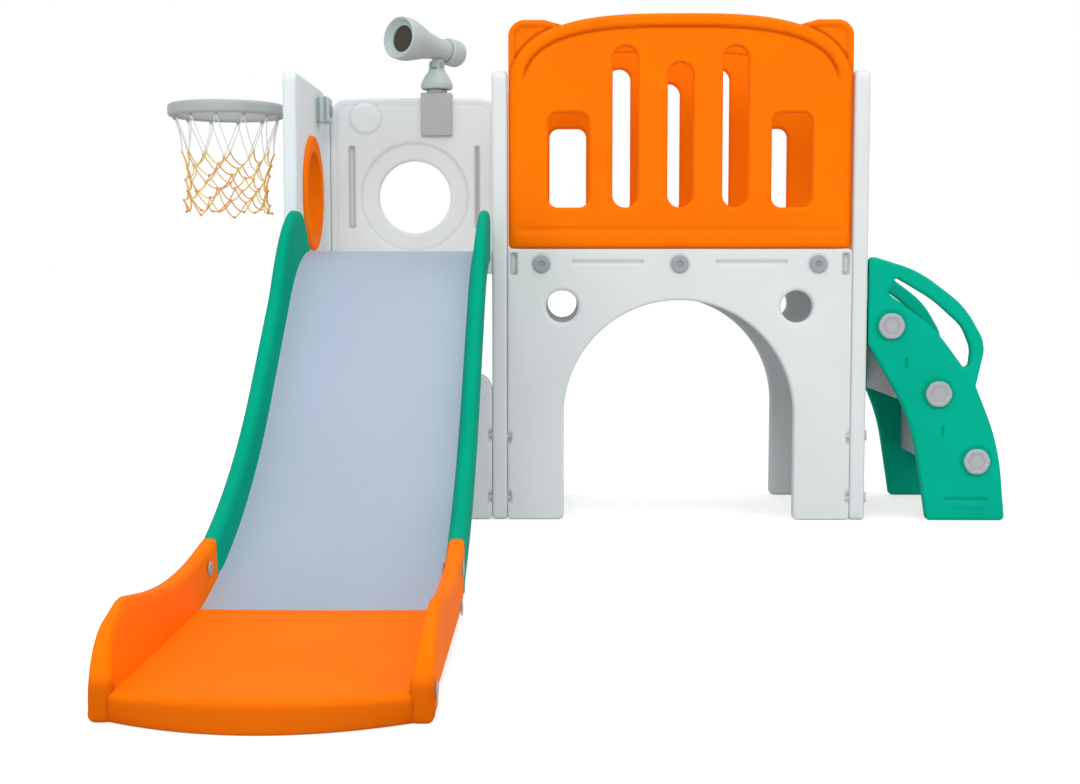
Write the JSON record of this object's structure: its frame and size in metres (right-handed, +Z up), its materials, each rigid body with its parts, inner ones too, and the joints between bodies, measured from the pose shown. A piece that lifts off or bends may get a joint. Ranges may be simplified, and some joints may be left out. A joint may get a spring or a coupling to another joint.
{
  "type": "toddler play structure",
  "caption": "Toddler play structure with a slide tower, a crawl tunnel under a railed deck, a step climber, a ball hoop and a turning telescope.",
  "frame": {"origin": "centre of the footprint at floor level", "axes": "+X from the hoop towards the climber, +Y from the slide's exit towards the back of the tower, +Z up"},
  "size_m": [1.9312, 2.1418, 1.1632],
  "materials": {
    "white_panels": "fine-grained blow-moulded polyethylene, soft white",
    "orange_parts": "fine-grained blow-moulded polyethylene, orange",
    "green_parts": "fine-grained blow-moulded polyethylene, blue-green",
    "slide_bed": "smooth satin slide surface, pale blue-grey",
    "grey_steps": "fine-grained moulded plastic, light grey",
    "grey_parts": "satin moulded plastic, light grey",
    "bolts": "satin moulded nylon, grey",
    "pegs": "matt moulded nylon, dark grey",
    "lens": "dark glossy disc",
    "net": "braided cord, white above and orange below"
  },
  "bodies": {
    "structure": {"tower_left_panel": "white_panels", "tower_back_panel": "white_panels", "tower_low_panel": "white_panels", "middle_frame": "white_panels", "right_frame": "white_panels", "tunnel_front_panel": "white_panels", "tunnel_back_panel": "white_panels", "railing_front": "orange_parts", "railing_back": "orange_parts", "tower_deck": "white_panels", "tunnel_deck": "white_panels", "porthole_ring": "orange_parts", "slide_bed": "slide_bed", "slide_rail_left": "green_parts", "slide_rail_right": "green_parts", "slide_exit": "orange_parts", "slide_bolt_upper_left": "bolts", "slide_bolt_upper_right": "bolts", "slide_bolt_lower_left": "bolts", "slide_bolt_lower_right": "bolts", "slide_bolt_front_left": "bolts", "slide_bolt_front_right": "bolts", "climber_side_front": "green_parts", "climber_side_back": "green_parts", "climber_step_1": "grey_steps", "climber_step_2": "grey_steps", "climber_step_3": "grey_steps", "step_cap_front_1": "grey_steps", "step_cap_front_2": "grey_steps", "step_cap_front_3": "grey_steps", "step_cap_back_1": "grey_steps", "step_cap_back_2": "grey_steps", "step_cap_back_3": "grey_steps", "tunnel_bolt_front_left": "bolts", "tunnel_bolt_front_middle": "bolts", "tunnel_bolt_front_right": "bolts", "tunnel_bolt_back_left": "bolts", "tunnel_bolt_back_middle": "bolts", "tunnel_bolt_back_right": "bolts", "peg_left_front_low": "pegs", "peg_left_front_high": "pegs", "peg_middle_front_low": "pegs", "peg_middle_front_high": "pegs", "peg_middle_back_low": "pegs", "peg_middle_back_high": "pegs", "peg_right_front_low": "pegs", "peg_right_front_high": "pegs", "peg_right_back_low": "pegs", "peg_right_back_high": "pegs", "telescope_clamp": "grey_parts", "telescope_clamp_knob": "grey_parts", "hoop_ring": "grey_parts", "hoop_jaw": "grey_parts", "hoop_screw": "bolts", "hoop_net": "net"},
    "telescope_head": {"telescope_swivel": "grey_parts", "telescope_tilt_pin": "bolts"},
    "telescope_tube": {"telescope_barrel": "grey_parts", "telescope_eyepiece": "grey_parts", "telescope_lens": "lens"}
  },
  "joints": [
    {"name": "telescope_pan", "type": "hinge", "parent": "structure", "child": "telescope_head", "pos_m": [-0.33264, 0.99114, 1.0016], "axis": [0, 0, 1], "continuous": true},
    {"name": "telescope_tilt", "type": "hinge", "parent": "telescope_head", "child": "telescope_tube", "pos_m": [-0.33264, 0.99114, 1.0616], "axis": [0.788, -0.6157, 0], "range_deg": [-20, 25]}
  ]
}
